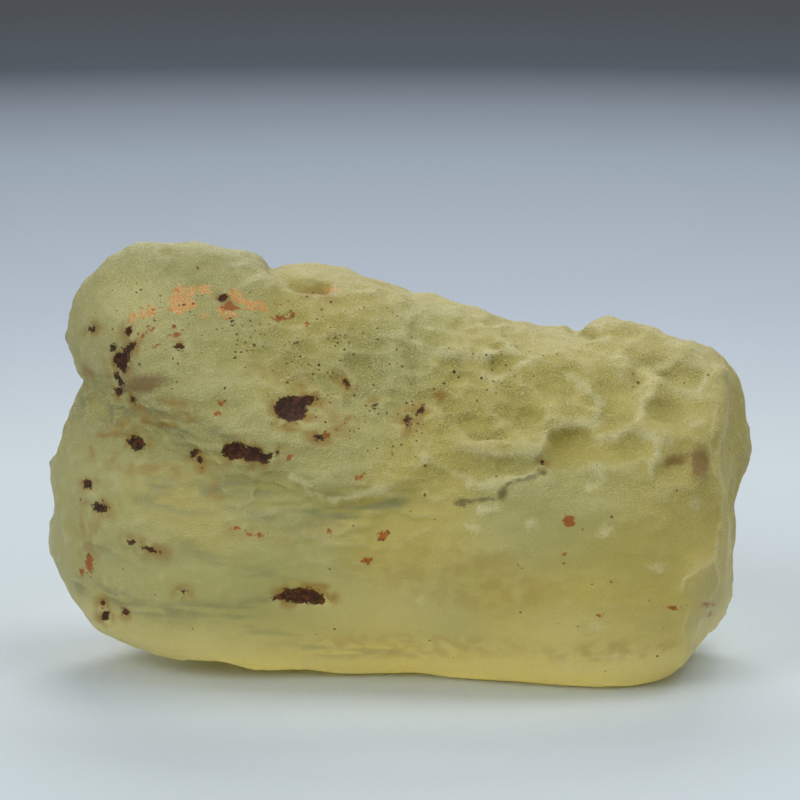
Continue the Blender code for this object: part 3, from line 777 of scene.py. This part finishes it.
def makeGlass():
    material = bpy.data.materials.new("desertGlass")
    material.use_nodes = True
    tree = material.node_tree
    place = placeInMillimetres(tree)
    shader = tree.nodes["Principled BSDF"]

    uneven = addNode(tree, "ShaderNodeTexNoise", {
        "Vector": place, "Scale": 1.0 / glass["raggedSize"], "Detail": 3.0, "Roughness": 0.65}).outputs["Fac"]
    frost = field(tree, "frost")
    grain = useGroup(tree, grainGroup, Place=place, Size=glass["grainSize"])
    grainHeight, sparkle = grain.outputs["Height"], grain.outputs["Sparkle"]

    def times(first, second):
        return mathNode(tree, "MULTIPLY", first, second)

    def maskOf(name, raggedness, softness=0.04):
        mark = useGroup(tree, raggedGroup, Unevenness=uneven, Inside=field(tree, name),
                        Raggedness=raggedness, Softness=softness)
        return mark.outputs["Mask"]

    # The bare glass, with a painted glow low down, painted shade in the hollows and painted highlight on the
    # ridges
    colour = mixColour(tree, field(tree, "zone"), glass["greenish"], glass["yellowish"])
    # painted glow on the low edge and in the glow zones
    colour = mixColour(tree, field(tree, "paintedGlowShare"), colour, glass["paintedGlow"])
    # painted shade in the dents and hollows
    colour = mixColour(tree, field(tree, "paintedShade"), colour, glass["paintedShade"])
    # painted highlight on the parts that stand out
    colour = mixColour(tree, times(field(tree, "ridgeHighlight"), glass["ridgeHighlightStrength"]), colour, glass["rim"])
    colour = mixColour(tree, times(field(tree, "flow"), glass["flowStrength"]), colour, glass["flow"])

    # Painted shade and highlight on the worn grain, painted highlight on the crests and edges
    wornGrainAndPaintedLight = mathNode(tree, "MULTIPLY_ADD", frost, glass["grainShadeAndSparkleFrosted"], glass["grainShadeAndSparkleLeast"])
    # painted shade in the grain's low points
    grainShade = rampValue(tree, grainHeight, *glass["grainShadeRange"])
    colour = mixColour(tree, times(grainShade, wornGrainAndPaintedLight), colour, glass["paintedShade"])
    # painted highlight on the crests, brightest at the sparkles
    crestHighlight = mathNode(tree, "MULTIPLY_ADD", sparkle, glass["crestSparkle"], glass["crestHighlightLeast"])
    rimMask = maskOf("rim", raggedness=0.9, softness=0.24)
    colour = mixColour(tree, times(rimMask, crestHighlight), colour, glass["rim"])
    # painted highlight along the edges
    arrisHighlightMask = maskOf("arrisHighlight", raggedness=0.25, softness=0.09)
    colour = mixColour(tree, times(arrisHighlightMask, glass["arrisHighlightStrength"]), colour, glass["rim"])
    # painted highlight: the grain's highest points sparkle pale
    colour = mixColour(tree, times(sparkle, wornGrainAndPaintedLight), colour, glass["rim"])

    # Ochre stains, the brown smears, and the painted shadow line under the ledge
    colour = mixColour(tree, field(tree, "stain"), colour, glass["stain"])
    smearMask = maskOf("smear", raggedness=0.60, softness=0.24)
    colour = mixColour(tree, times(smearMask, glass["smearStrength"]), colour, glass["smear"])
    ledgeShadowMask = maskOf("ledgeShadow", raggedness=0.40, softness=0.12)
    colour = mixColour(tree, times(ledgeShadowMask, glass["ledgeShadowStrength"]), colour, glass["ledgeShadow"])

    # Orange flakes with their glint painted in as highlight, and red spots
    pits = rampValue(tree, uneven, *glass["pitRange"])
    # painted highlight: the flakes turn paler on the grain's tops
    glintingFlakeGrain = rampValue(tree, grainHeight, *glass["glintingFlakeRange"])
    glintingFlake = mixColour(tree, glintingFlakeGrain, glass["glint"], glass["glintPale"])
    glintingFlake = mixColour(tree, pits, glintingFlake, glass["red"])
    colour = mixColour(tree, maskOf("glint", raggedness=1.1), colour, glintingFlake)
    redColour = mixColour(tree, pits, glass["red"], glass["darkFillEdge"])
    colour = mixColour(tree, maskOf("redSpot", raggedness=0.75), colour, redColour)

    amount = mathNode(tree, "MULTIPLY_ADD", field(tree, "specky"), glass["specksDense"], glass["specksLeast"])
    specks = useGroup(tree, speckGroup, Place=place, Unevenness=uneven, Amount=amount,
                      Spacing=glass["speckSpacing"], Radius=glass["speckRadius"])
    speckColour = mixColour(tree, specks.outputs["Kind"], glass["speck"], glass["paleSpeck"])
    colour = mixColour(tree, specks.outputs["Mask"], colour, speckColour)

    rust = rampValue(tree, uneven, *glass["fillRange"])
    fillColour = mixColour(tree, rust, glass["darkFill"], glass["darkFillEdge"])
    fillMask = maskOf("darkFill", raggedness=0.60)
    colour = mixColour(tree, fillMask, colour, fillColour)
    tree.links.new(colour, shader.inputs["Base Color"])

    roughness = addNode(tree, "ShaderNodeMapRange", {
        "Value": mathNode(tree, "MAXIMUM", frost, fillMask),
        "To Min": glass["smoothRoughness"], "To Max": glass["frostRoughness"]})
    tree.links.new(roughness.outputs["Result"], shader.inputs["Roughness"])

    rough = mathNode(tree, "MULTIPLY_ADD", frost, glass["bumpFrosted"], glass["bumpLeast"])
    bump = addNode(tree, "ShaderNodeBump", {
        "Height": times(grainHeight, rough), "Strength": 1.0, "Distance": glass["bumpHeight"]})
    tree.links.new(bump.outputs["Normal"], shader.inputs["Normal"])

    shader.inputs["IOR"].default_value = glass["indexOfRefraction"]
    shader.inputs["Specular IOR Level"].default_value = glass["reflection"]
    shader.inputs["Transmission Weight"].default_value = glass["transmission"]
    depth = addNode(tree, "ShaderNodeVolumeAbsorption")
    depth.inputs["Color"].default_value = glass["depthColour"]
    depth.inputs["Density"].default_value = glass["depthDensity"]
    tree.links.new(depth.outputs["Volume"], tree.nodes["Material Output"].inputs["Volume"])
    return material


# Floor, room and lights

stage = {
    "floorSize": 3.0,
    "paintedFloorLight": [  # distance from the lump, colour: painted light and shadow, pale just under the lump, a step darker round it where its shadow falls, and darker farther off
        (0.012, (0.52, 0.57, 0.58, 1.0)),
        (0.024, (0.42, 0.465, 0.48, 1.0)),
        (0.050, (0.42, 0.465, 0.485, 1.0)),
        (0.093, (0.295, 0.338, 0.388, 1.0)),
        (0.127, (0.233, 0.270, 0.310, 1.0)),
        (0.145, (0.195, 0.235, 0.270, 1.0)),
        (0.165, (0.118, 0.142, 0.170, 1.0)),
        (0.182, (0.012, 0.026, 0.039, 1.0)),
        (0.210, (0.004, 0.008, 0.012, 1.0)),
    ],
    "floorRoughness": 0.7,
    "floorReflection": 0.2,
    "floorGrainSize": 0.22,  # millimetres
    "floorGrainHeight": 0.00006,  # metres
    "floorGrainStrength": 0.3,
    "skyColour": (0.84, 0.89, 0.94, 1.0),
    "skyStrength": 0.62,
}

lights = [  # name, place, size, power
    ("topBox", (0.12, 0.00, 0.31), 0.18, 0.44),
    ("backBox", (0.00, 0.42, 0.36), 0.26, 1.36),
    ("frontBox", (-0.22, -0.22, 0.19), 0.20, 0.62),
]


def makeFloor():
    bpy.ops.mesh.primitive_plane_add(size=stage["floorSize"])
    floor = bpy.context.object
    floor.name = "floor"
    material = bpy.data.materials.new("floorWithPaintedLight")
    material.use_nodes = True
    tree = material.node_tree
    shader = tree.nodes["Principled BSDF"]
    place = placeInMillimetres(tree)
    far = addNode(tree, "ShaderNodeVectorMath", {0: place}, operation="LENGTH").outputs["Value"]
    farthest = stage["paintedFloorLight"][-1][0]
    # painted pool of light and shadow on the floor
    floorLightRamp = addNode(tree, "ShaderNodeValToRGB", {"Fac": mathNode(tree, "DIVIDE", far, perMetre * farthest)})
    stops = floorLightRamp.color_ramp.elements
    stops.remove(stops[1])
    for reach, colour in stage["paintedFloorLight"]:
        stops.new(reach / farthest).color = colour
    stops[0].color = stage["paintedFloorLight"][0][1]
    tree.links.new(floorLightRamp.outputs["Color"], shader.inputs["Base Color"])
    shader.inputs["Roughness"].default_value = stage["floorRoughness"]
    shader.inputs["Specular IOR Level"].default_value = stage["floorReflection"]
    grain = useGroup(tree, grainGroup, Place=place, Size=stage["floorGrainSize"])
    bump = addNode(tree, "ShaderNodeBump", {
        "Height": grain.outputs["Height"], "Strength": stage["floorGrainStrength"],
        "Distance": stage["floorGrainHeight"]})
    tree.links.new(bump.outputs["Normal"], shader.inputs["Normal"])
    floor.data.materials.append(material)


def makeRoom():
    world = bpy.data.worlds.new("softRoom")
    world.use_nodes = True
    sky = world.node_tree.nodes["Background"]
    sky.inputs["Color"].default_value = stage["skyColour"]
    sky.inputs["Strength"].default_value = stage["skyStrength"]
    scene.world = world
    for name, where, size, power in lights:
        lamp = bpy.data.lights.new(name, "AREA")
        lamp.size, lamp.energy = size, power
        holder = bpy.data.objects.new(name, lamp)
        holder.location = where
        towardsLump = Vector(shot["lumpMiddle"]) - Vector(where)
        holder.rotation_euler = towardsLump.to_track_quat("-Z", "Y").to_euler()
        scene.collection.objects.link(holder)


def makeLump():
    mesh = fineMesh(frame["nodes"]["desert_glass"])
    print("fine mesh:", len(mesh.vertices), "points")
    shapeSkin(mesh)
    markSkin(mesh)
    writePoints(mesh, readPoints(mesh) / perMetre)
    mesh.shade_smooth()
    mesh.materials.clear()
    mesh.materials.append(makeGlass())
    lump = bpy.data.objects.new("glassLump", mesh)
    scene.collection.objects.link(lump)
    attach(lump, list(frame["bodies"])[0])
    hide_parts("desert_glass")


grainGroup = makeGrainGroup()
raggedGroup = makeRaggedGroup()
speckGroup = makeSpeckGroup()
makeCamera()
makeFloor()
makeRoom()
print("camera, floor and lights ready")
makeLump()
print("lump ready")
